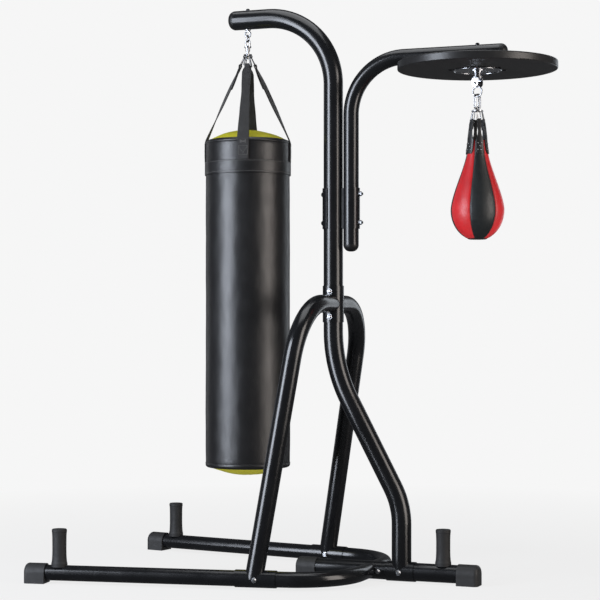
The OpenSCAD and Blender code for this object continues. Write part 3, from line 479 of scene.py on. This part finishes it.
def strap(name, centre, azimuth, path, cup=0.0):
    """A flat strap along a path of (radius, height, width, thickness, wrap) in the plane at azimuth.
    Wrap 1 lies round the axis. Its map is in metres: across, then along."""
    pts = np.array([(p[0], p[1]) for p in path])
    tangent = np.gradient(pts, axis=0)
    tangent /= np.linalg.norm(tangent, axis=1)[:, None]
    normal = np.column_stack([tangent[:, 1], -tangent[:, 0]])
    run = np.concatenate([[0], np.cumsum(np.linalg.norm(np.diff(pts, axis=0), axis=1))])
    ca, sa = math.cos(azimuth), math.sin(azimuth)
    m = len(CROSS)
    verts, uvs, faces = [], [], []
    for i, (r, z, w, t, wrap) in enumerate(path):
        for u, h in CROSS:
            across = u * w / 2
            lift = h * t / 2 - cup * w * (u * u - 0.33) * (1 - wrap)
            rho, zz = r + lift * normal[i][0], z + lift * normal[i][1]
            turn = across / max(r, 0.01)
            x = (1 - wrap) * rho + wrap * rho * math.cos(turn)
            y = (1 - wrap) * across + wrap * rho * math.sin(turn)
            verts.append((centre[0] + x * ca - y * sa, centre[1] + x * sa + y * ca, zz))
            uvs.append((across + (w if h < 0 else 0), run[i]))
    for i in range(len(path) - 1):
        for k in range(m):
            faces.append((i * m + k, i * m + (k + 1) % m, (i + 1) * m + (k + 1) % m, (i + 1) * m + k))
    faces.append(tuple(range(m)))
    faces.append(tuple(reversed(range((len(path) - 1) * m, len(path) * m))))
    made = mesh_object(name, verts, faces, sharp=60)
    layer = made.data.uv_layers.new(name="metres")
    for loop in made.data.loops:
        layer.data[loop.index].uv = uvs[loop.vertex_index]
    return made


def smooth_path(corners, step):
    """Points every step along a path of (radius, height, ...) rows, with the rest of each row eased."""
    rows = []
    for a, b in zip(corners[:-1], corners[1:]):
        length = math.hypot(b[0] - a[0], b[1] - a[1])
        count = max(1, round(length / step))
        for k in range(count):
            f = k / count
            e = f * f * (3 - 2 * f)
            eased = [p + (q - p) * e for p, q in zip(a[2:], b[2:])]
            rows.append([a[0] + (b[0] - a[0]) * f, a[1] + (b[1] - a[1]) * f, *eased])
    rows.append(list(corners[-1]))
    return rows


def threads(name, bars, radius):
    """Short stitches, each from p to q and pressed into the surface at both ends, in one mesh."""
    verts, faces = [], []
    for p, q, n in bars:
        d = (q - p).normalized()
        side = d.cross(n).normalized()
        up = side.cross(d).normalized()
        base = len(verts)
        for f, lift, size in ((0, -0.9, 0.6), (0.18, 0.25, 1), (0.82, 0.25, 1), (1, -0.9, 0.6)):
            mid = p.lerp(q, f) + up * (lift * radius)
            for k in range(6):
                a = math.pi * k / 3
                verts.append(mid + (side * math.cos(a) + up * math.sin(a)) * (radius * size))
        for j in range(3):
            for k in range(6):
                a, b = base + j * 6 + k, base + j * 6 + (k + 1) % 6
                faces.append((a, b, b + 6, a + 6))
        faces.append(tuple(base + k for k in reversed(range(6))))
        faces.append(tuple(base + 18 + k for k in range(6)))
    return mesh_object(name, verts, faces)


def run_of(point, length, pitch, share=0.72):
    """Stitches along point(s), which gives a place and its outward normal at distance s."""
    count = max(1, int(length / pitch))
    pitch = length / count
    bars = []
    for k in range(count):
        p, n = point(k * pitch + pitch * (1 - share) / 2)
        q, _ = point(k * pitch + pitch * (1 + share) / 2)
        bars.append((p, q, n))
    return bars


def round_point(centre, r, z, start=0.0):
    def point(s):
        a = start + s / r
        out = Vector((math.cos(a), math.sin(a), 0))
        return Vector((centre[0], centre[1], z)) + out * r, out
    return point


def patch_point(centre, azimuth, r_at, a, b):
    """From a to b, each (across, height), on a surface of radius r_at(height) round a vertical axis."""
    length = math.hypot(b[0] - a[0], b[1] - a[1])

    def point(s):
        f = s / length
        u, z = a[0] + (b[0] - a[0]) * f, a[1] + (b[1] - a[1]) * f
        r = r_at(z)
        t = azimuth + u / r
        out = Vector((math.cos(t), math.sin(t), 0))
        return Vector((centre[0], centre[1], z)) + out * r, out
    return point, length


def stitch_lines(centre, azimuth, r_at, lines, pitch):
    bars = []
    for a, b in lines:
        point, length = patch_point(centre, azimuth, r_at, a, b)
        bars += run_of(point, length, pitch)
    return bars


def ripple(a, z, seed, scale=1.0):
    return noise.noise(Vector((math.cos(a) * 2.2 * scale, math.sin(a) * 2.2 * scale, z * 6.0 * scale + seed)))


# ---------- heavy bag ----------

low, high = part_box("heavy_bag_shell")
bag = ((low.x + high.x) / 2, (low.y + high.y) / 2)
bag_r, bag_low, bag_high = (high.x - low.x) / 2, low.z, high.z
band_low, band_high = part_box("heavy_bag_band")[0].z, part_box("heavy_bag_band")[1].z
band_r = (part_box("heavy_bag_band")[1].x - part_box("heavy_bag_band")[0].x) / 2
top_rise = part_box("heavy_bag_top")[1].z - bag_high
bottom_fall = bag_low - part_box("heavy_bag_bottom")[0].z
STRAP_TURN = math.radians(16.6)
strap_turns = [STRAP_TURN + math.pi / 2 * k for k in range(4)]


def bag_move(a, r, z):
    """The filling's soft lumps, a slight settling towards the bottom, and a squeeze under the band."""
    if z < bag_low + 0.016 or z > bag_high - 0.012:
        return 0.0, 0.0
    ends = min(1.0, (z - bag_low - 0.016) / 0.05, (bag_high - 0.012 - z) / 0.05)
    lump = 0.0011 * ripple(a, z, 3.1) + 0.0006 * ripple(a, z, 9.7, 2.3)
    settle = 0.0012 * math.exp(-((z - bag_low - 0.22) / 0.2) ** 2)
    waist = -0.0009 * math.exp(-((z - (band_low + band_high) / 2) / 0.035) ** 2)
    return ends * (lump + settle) + waist, 0.0


# the rolled hems at both ends of the bag, as steps from its side and its end
LOW_HEM = [(-0.0105, -0.0062), (-0.006, -0.0058), (-0.002, -0.0035), (0.0006, 0.0005), (0.0012, 0.006),
           (0.0012, 0.0125), (-0.0004, 0.0142), (0, 0.0165)]
HIGH_HEM = [(0, -0.0095), (-0.0007, -0.0078), (0.0010, -0.0064), (0.0011, -0.002), (-0.0012, 0.0025),
            (-0.0052, 0.0062), (-0.0092, 0.0078), (-0.0118, 0.0068)]
profile = [(bag_r + dr, bag_low + dz) for dr, dz in LOW_HEM]
steps = 118
for i in range(1, steps):
    profile.append((bag_r, bag_low + 0.0165 + (bag_high - 0.0095 - bag_low - 0.0165) * i / steps))
profile += [(bag_r + dr, bag_high + dz) for dr, dz in HIGH_HEM]
shell = ring_lathe("bag_body", bag, profile, even(240), bag_move)
finish_piece(shell, "heavy_bag", "bag_vinyl", LOOKS["bag_vinyl"],
             replaced=("heavy_bag_shell", "heavy_bag_fill"))


def cap_profile(rise, sign, edge_z, inset):
    arc = (bag_r ** 2 + rise ** 2) / (2 * rise)
    rows = []
    for i in range(41):
        r = (bag_r - inset) * (1 - i / 40)
        rows.append((r if i < 40 else 0.0002, edge_z + sign * (math.sqrt(arc ** 2 - r ** 2) - arc + rise)))
    return rows


def pucker(sign, seed, depth):
    def move(a, r, z):
        f = min(1.0, r / bag_r)
        near_edge = max(0.0, (f - 0.62) / 0.38) ** 1.5
        gather = depth * math.sin(46 * a + 3 * ripple(a, 0, seed)) * near_edge
        gather *= 0.6 + 0.6 * ripple(a, 0, seed + 5, 1.7)
        lump = 0.0022 * ripple(a, r * 3, seed + 2, 1.1) * (1 - f ** 6)
        pull = 0.0
        if sign > 0:
            for t in strap_turns:
                d = math.atan2(math.sin(a - t), math.cos(a - t))
                pull += 0.0030 * math.exp(-(d / 0.16) ** 2) * f ** 4
        return 0.0, sign * (gather + lump * 0.8 - 0.0012) + pull * 0.4
    return move


top_rows = cap_profile(top_rise, 1, bag_high, 0.0095)
top_piece = ring_lathe("bag_top", bag, top_rows, even(240), pucker(1, 1.3, 0.0011))
finish_piece(top_piece, "heavy_bag", "yellow_vinyl", LOOKS["yellow_vinyl"], replaced=("heavy_bag_top",))
low_rows = cap_profile(bottom_fall, -1, bag_low, 0.008)[::-1]
low_piece = ring_lathe("bag_bottom", bag, low_rows, even(240), pucker(-1, 7.9, 0.0009))
finish_piece(low_piece, "heavy_bag", "yellow_vinyl", LOOKS["yellow_vinyl"], replaced=("heavy_bag_bottom",))

BAND_EDGE = [(-0.0042, 0.0004), (-0.0012, 0), (-0.0002, 0.0009), (0, 0.003)]
band_rows = [(band_r + dr, band_low + dz) for dr, dz in BAND_EDGE]
band_run = band_high - band_low - 0.006
band_rows += [(band_r + 0.0002 * math.sin(math.pi * i / 12), band_low + 0.003 + band_run * i / 12)
              for i in range(1, 12)]
band_rows += [(band_r + dr, band_high - dz) for dr, dz in reversed(BAND_EDGE)]


def band_move(a, r, z):
    line = sum(math.exp(-((z - s) / 0.0016) ** 2) for s in (band_low + 0.008, band_high - 0.0042))
    return 0.0004 * ripple(a, z, 21.0, 2.0) - 0.0005 * min(1, line), 0.0003 * ripple(a, 0, 4.4, 2.0)


rows = []
for (r0, z0), (r1, z1) in zip(band_rows[:-1], band_rows[1:]):
    rows += [(r0 + (r1 - r0) * k / 3, z0 + (z1 - z0) * k / 3) for k in range(3)]
rows.append(band_rows[-1])
band = ring_lathe("bag_band", bag, rows, even(240), band_move)
finish_piece(band, "heavy_bag", "bag_vinyl", LOOKS["bag_vinyl"], replaced=("heavy_bag_band",))

bars = []
for z in (band_low + 0.008, band_high - 0.0042):
    bars += run_of(round_point(bag, band_r + 0.00005, z), 2 * math.pi * band_r, 0.0046)
for z, r in ((bag_high - 0.0045, bag_r + 0.0011), (bag_low + 0.0095, bag_r + 0.0012)):
    bars += run_of(round_point(bag, r, z), 2 * math.pi * r, 0.0046)
finish_piece(threads("bag_hem_stitches", bars[len(bars) // 2:], 0.00042),
             "heavy_bag", "bag_vinyl", BLACK_THREAD)
finish_piece(threads("bag_band_stitches", bars[:len(bars) // 2], 0.00055), "heavy_bag", "webbing", THREAD)

# the vertical seam of the bag's side, on the far side from the camera
SEAM = math.radians(100)
seam_rows = []
for i in range(61):
    z = bag_low + 0.018 + (band_low - 0.004 - bag_low - 0.018) * i / 60
    seam_rows.append((bag_r + 0.0009 + bag_move(SEAM, bag_r, z)[0], z, 0.034, 0.0022, 1.0))
finish_piece(strap("bag_seam", bag, SEAM, seam_rows), "heavy_bag", "bag_vinyl", LOOKS["bag_vinyl"])
seam_lines = [((u, bag_low + 0.022), (u, band_low - 0.008)) for u in (-0.0135, -0.0095, 0.0095, 0.0135)]


def on_seam(z):
    return bag_r + 0.00205 + bag_move(SEAM, bag_r, z)[0]


finish_piece(threads("bag_seam_stitches", stitch_lines(bag, SEAM, on_seam, seam_lines, 0.0055), 0.0004),
             "heavy_bag", "bag_vinyl", BLACK_THREAD)

# straps: tail on the side, bend over the rim, slanting run, loop round the link's bar, and return layer
link_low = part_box("strap_links")[0].z
bar_r, bar_z = 0.030, link_low + 0.00225
tail_r, t = bag_r + 0.0029, 0.004
loop_r = 0.0046
for k, turn in enumerate(strap_turns):
    head = (bar_r + loop_r + 0.0002, bar_z - 0.010)
    slope = Vector((head[0] - tail_r, head[1] - (bag_high + 0.001))).normalized()
    corners = [(tail_r, band_high + 0.0008, 0.044, 0.0040, 1), (tail_r, band_high + 0.02, 0.045, 0.0040, 1),
               (tail_r + 0.0002, bag_high - 0.014, 0.0465, 0.0042, 1)]
    bend = []
    for j in range(1, 8):
        f = j / 8
        p0, p1 = Vector((tail_r + 0.0002, bag_high - 0.014)), Vector((tail_r + 0.0004, bag_high - 0.001))
        p2 = Vector((tail_r, bag_high - 0.001)) + slope * 0.017
        p = p0 * (1 - f) ** 2 + p1 * 2 * f * (1 - f) + p2 * f * f
        bend.append((p.x, p.y, 0.0465, 0.0042, 1 - 0.85 * f))
    first = bend[-1]
    run = Vector((head[0] - first[0], head[1] - first[1]))

    def at(f, w, thick=t, wrap=0.0):
        return (first[0] + run.x * f, first[1] + run.y * f, w, thick, wrap)

    corners += bend + [at(0.10, 0.0455, t, 0.05), at(0.35, 0.040), at(0.64, 0.0335), at(0.80, 0.0365),
                       at(0.93, 0.0375), at(0.975, 0.030, 0.0046), at(1.0, 0.0205, 0.0046)]
    loop = []
    for j in range(13):
        a = math.radians(-8 + 206 * j / 12)
        loop.append((bar_r + loop_r * math.cos(a), bar_z + loop_r * math.sin(a), 0.0190, 0.0040, 0))
    across = Vector((-run.y, run.x)).normalized()
    back = [at(1.0 - 0.012, 0.0235), at(1.0 - 0.04, 0.0345), at(1.0 - 0.10, 0.0365), at(1.0 - 0.20, 0.0355),
            at(1.0 - 0.29, 0.0335)]
    back = [(b[0] + across.x * 0.0043, b[1] + across.y * 0.0043, *b[2:]) for b in back]
    path = smooth_path(corners, 0.006) + loop[1:] + smooth_path(back, 0.006)

    def twist(piece):
        """Turns the strap's free run a little about its own length, as its link lets it hang."""
        most = -math.radians(27) * math.sin(turn - math.radians(FRONT))
        for v in piece.data.vertices:
            f = (v.co.z - first[1]) / run.y
            if 0 < f < 1:
                a, r = most * math.sin(math.pi * f ** 1.6), first[0] + run.x * f
                mid = Vector((bag[0] + r * math.cos(turn), bag[1] + r * math.sin(turn)))
                off = v.co.xy - mid
                v.co.x = mid.x + off.x * math.cos(a) - off.y * math.sin(a)
                v.co.y = mid.y + off.x * math.sin(a) + off.y * math.cos(a)
        return piece

    piece = twist(strap(f"bag_strap_{k + 1}", bag, turn, path, cup=0.012))
    finish_piece(piece, "heavy_bag", "webbing", LOOKS["webbing"], replaced=("bag_straps",))

    def on_tail(z):
        return tail_r + 0.0021

    low_z, high_z, half = band_high + 0.018, band_high + 0.052, 0.0180
    box_lines = [((-half, low_z), (half, low_z)), ((half, low_z), (half, high_z)),
                 ((half, high_z), (-half, high_z)), ((-half, high_z), (-half, low_z)),
                 ((-half, high_z), (0, low_z + 0.006)), ((half, high_z), (0, low_z + 0.006))]
    tie_lo, tie_hi, hw = bag_high - 0.0180, bag_high - 0.0045, 0.0115
    for j in range(7):
        lean = (-1 + 2 * j / 6) * (tie_hi - tie_lo) / 2
        box_lines.append(((-hw, (tie_lo + tie_hi) / 2 + lean), (hw, (tie_lo + tie_hi) / 2 - lean)))
    box_lines += [((-hw, tie_lo), (-hw, tie_hi)), ((hw, tie_lo), (hw, tie_hi))]
    box_bars = stitch_lines(bag, turn, on_tail, box_lines, 0.0040)
    finish_piece(threads(f"bag_strap_stitches_{k + 1}", box_bars, 0.0006), "heavy_bag", "webbing", THREAD)
    bars = []
    ca, sa = math.cos(turn), math.sin(turn)

    def on_face(f, u):
        """A place on the strap's outer face, share f along and u from its middle line, and the way out."""
        x = first[0] + run.x * f - across.x * 0.0021
        z = first[1] + run.y * f - across.y * 0.0021
        return (Vector((bag[0] + x * ca - u * sa, bag[1] + x * sa + u * ca, z)),
                Vector((-across.x * ca, -across.x * sa, -across.y)))

    for u in (-0.012, 0.012):
        bars += run_of(lambda s, u=u: on_face(0.955 - s / run.length, u), run.length * 0.21, 0.0042)
    for f in (0.955, 0.745):
        bars += run_of(lambda s, f=f: on_face(f, -0.012 + s), 0.024, 0.0042)
    finish_piece(twist(threads(f"bag_strap_seams_{k + 1}", bars, 0.0005)),
                 "heavy_bag", "webbing", BLACK_THREAD)


# ---------- speed bag ----------

low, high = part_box("speed_bag_shell")
ball = ((low.x + high.x) / 2, (low.y + high.y) / 2)
ball_low, ball_top, belly_r, neck_r = low.z, high.z, (high.x - low.x) / 2, 0.034
belly_z = ball_low + 0.111
TAB_TURN = math.radians(59.28)
tab_turns = [TAB_TURN + math.pi / 3 * k for k in range(6)]


def ball_r(z):
    if z > belly_z:
        f = min(1.0, (z - belly_z) / (ball_top - belly_z))
        return neck_r + (belly_r - neck_r) * math.cos(math.pi / 2 * f ** 0.8) ** 1.65
    return belly_r * math.sqrt(max(0.0, 1 - ((belly_z - z) / (belly_z - ball_low + 0.006)) ** 2))


PANEL = math.radians(60)
FIRST_SEAM = TAB_TURN - math.radians(150)
# where the rows of a panel stand, closer together beside its seams
shares = [0, 0.012, 0.028, 0.05, 0.08, 0.13, 0.2, 0.29, 0.39, 0.5, 0.61, 0.71, 0.8, 0.87,
          0.92, 0.95, 0.972, 0.988]
ball_angles = [FIRST_SEAM + PANEL * (p + s) for p in range(6) for s in shares]


def ball_move(a, r, z):
    f = ((a - FIRST_SEAM) / PANEL) % 1.0
    d = min(f, 1 - f) * PANEL * r
    tight = min(1.0, max(0.15, (r - 0.03) / 0.05))
    seam = -0.0019 * math.exp(-(d / 0.0017) ** 2) - 0.0007 * math.exp(-(d / 0.006) ** 2)
    puff = 0.0009 * math.sin(math.pi * f) ** 0.8 * tight
    gather = 0.00035 * math.sin(z * 1150 + 4 * ripple(a, z, 2.0)) * math.exp(-(d / 0.007) ** 2)
    return seam + puff + gather + 0.0004 * ripple(a, z * 2, 6.5, 1.6), 0.0


ball_rows = [(0.0305, ball_low + 0.0012), (0.0318, ball_low + 0.0002)]
for i in range(1, 27):
    z = ball_low + 0.0002 + (belly_z - ball_low) * (1 - math.cos(math.pi / 2 * i / 26))
    ball_rows.append((ball_r(z), z))
for i in range(1, 45):
    z = belly_z + (ball_top - 0.003 - belly_z) * i / 44
    ball_rows.append((ball_r(z), z))
NECK_LIP = [(-0.0005, -0.0016), (-0.0022, -0.0004), (-0.0045, 0), (-0.006, -0.0008)]
ball_rows += [(neck_r + dr, ball_top + dz) for dr, dz in NECK_LIP]
skin = ring_lathe("ball_skin", ball, ball_rows, ball_angles, ball_move)
finish_piece(skin, "speed_bag", "bag_leather", LOOKS["bag_leather"], BLACK_LEATHER,
             replaced=("speed_bag_shell", "speed_bag_bladder"))
columns = len(ball_angles)
for i, face in enumerate(skin.data.polygons):
    panel = (i % columns) // len(shares)
    face.material_index = 1 if panel % 2 == 0 else 0

# the round patch under the bag and the gathered lid on top, as (radius, step from the bag's end)
PATCH = [(0.0002, -0.0012), (0.014, -0.0013), (0.026, -0.0011), (0.0335, -0.0004), (0.0362, 0.0008),
         (0.0372, 0.0022), (0.0366, 0.0034), (0.034, 0.0026), (0.0300, 0.0015)]
LID = [(0.0295, -0.0022), (0.0305, -0.0002), (0.0295, 0.0008), (0.025, 0.0012), (0.018, 0.0004),
       (0.0085, -0.0012), (0.0052, -0.0006), (0.0046, 0.0008), (0.0036, 0.0010), (0.0024, 0.0002),
       (0.0010, -0.003), (0.0002, -0.0032)]


def patch_move(a, r, z):
    return 0.0002 * math.sin(30 * a) * (r > 0.03), 0.0003 * ripple(a, r * 9, 1.0)


def lid_move(a, r, z):
    return 0.0, 0.0008 * abs(math.sin(3 * (a - TAB_TURN))) * (0.005 < r < 0.029)


def on_patch(a):
    return Vector((ball[0] + 0.031 * math.cos(a), ball[1] + 0.031 * math.sin(a), ball_low - 0.0008))


patch = ring_lathe("ball_patch", ball, [(r, ball_low + dz) for r, dz in PATCH], even(96), patch_move)
finish_piece(patch, "speed_bag", "tab_leather", BLACK_LEATHER)
patch_bars = [(on_patch(a), on_patch(a + 0.09), Vector((0, 0, -1))) for a in even(52)]
finish_piece(threads("ball_patch_stitches", patch_bars, 0.00035), "speed_bag", "tab_leather", BLACK_THREAD)
lid = ring_lathe("ball_top", ball, [(r, ball_top + dz) for r, dz in LID], even(96), lid_move)
finish_piece(lid, "speed_bag", "tab_leather", BLACK_LEATHER)

# tabs: a tail on the bag, a slanting run that narrows, and a loop round the link's bar
tab_links_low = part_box("tab_links")[0].z
eye_r, eye_z = 0.025, tab_links_low + 0.0015
TAIL = 0.052
tail_slope = (ball_r(ball_top - TAIL) - neck_r) / TAIL
# a tab's free run: share of the run, width, thickness, wrap
TAB_RUN = ((0.06, 0.0296, 0.0038, 0.9), (0.2, 0.0205, 0.0036, 0.55), (0.38, 0.0142, 0.0034, 0.2),
           (0.55, 0.0122, 0.0034, 0.05), (0.72, 0.0135, 0.0034, 0), (0.88, 0.0165, 0.0034, 0),
           (0.95, 0.0150, 0.0028, 0), (1.0, 0.0132, 0.0022, 0))
LOOP_TURNS = [math.radians(-20 + 222 * j / 10) for j in range(11)]
for k, turn in enumerate(tab_turns):
    tail_z = ball_top - TAIL
    rows = []
    for i in range(15):
        z = tail_z + (ball_top - 0.004 - tail_z) * i / 14
        f = i / 14
        width = 0.0215 + 0.0085 * min(1, f * 3.4) ** 0.6 + 0.0005 * f
        rows.append((neck_r + tail_slope * (ball_top - z) + 0.0021, z, width, 0.0038 if i else 0.0026, 1))
    start = rows[-1]
    end = (eye_r + 0.0029, eye_z - 0.0058)
    run = (end[0] - start[0], end[1] - start[1])
    for f, w, thick, wrap in TAB_RUN:
        bow = 0.0012 * math.sin(math.pi * f)
        rows.append((start[0] + run[0] * f + bow, start[1] + run[1] * f, w, thick, wrap))
    rows = smooth_path(rows, 0.004)
    loop = [(eye_r + 0.0029 * math.cos(a), eye_z + 0.0029 * math.sin(a), 0.0130, 0.0022, 0)
            for a in LOOP_TURNS]
    back = [(start[0] + run[0] * f - 0.0034, start[1] + run[1] * f - 0.0008, w, 0.0022, 0)
            for f, w in ((0.97, 0.0130), (0.9, 0.0138), (0.75, 0.0128), (0.6, 0.0116))]
    piece = strap(f"ball_tab_{k + 1}", ball, turn, rows + loop + smooth_path(back, 0.004), cup=0.02)
    finish_piece(piece, "speed_bag", "tab_leather", LOOKS["tab_leather"], replaced=("speed_bag_tabs",))
    edge = [((side * 0.0115, tail_z + 0.006), (side * 0.0125, ball_top - 0.006)) for side in (-1, 1)]
    edge.append(((-0.0110, tail_z + 0.0045), (0.0110, tail_z + 0.0045)))
    tab_bars = stitch_lines(ball, turn, lambda z: ball_r(z) + 0.0040, edge, 0.0032)
    finish_piece(threads(f"ball_tab_stitches_{k + 1}", tab_bars, 0.0003),
                 "speed_bag", "tab_leather", BLACK_THREAD)
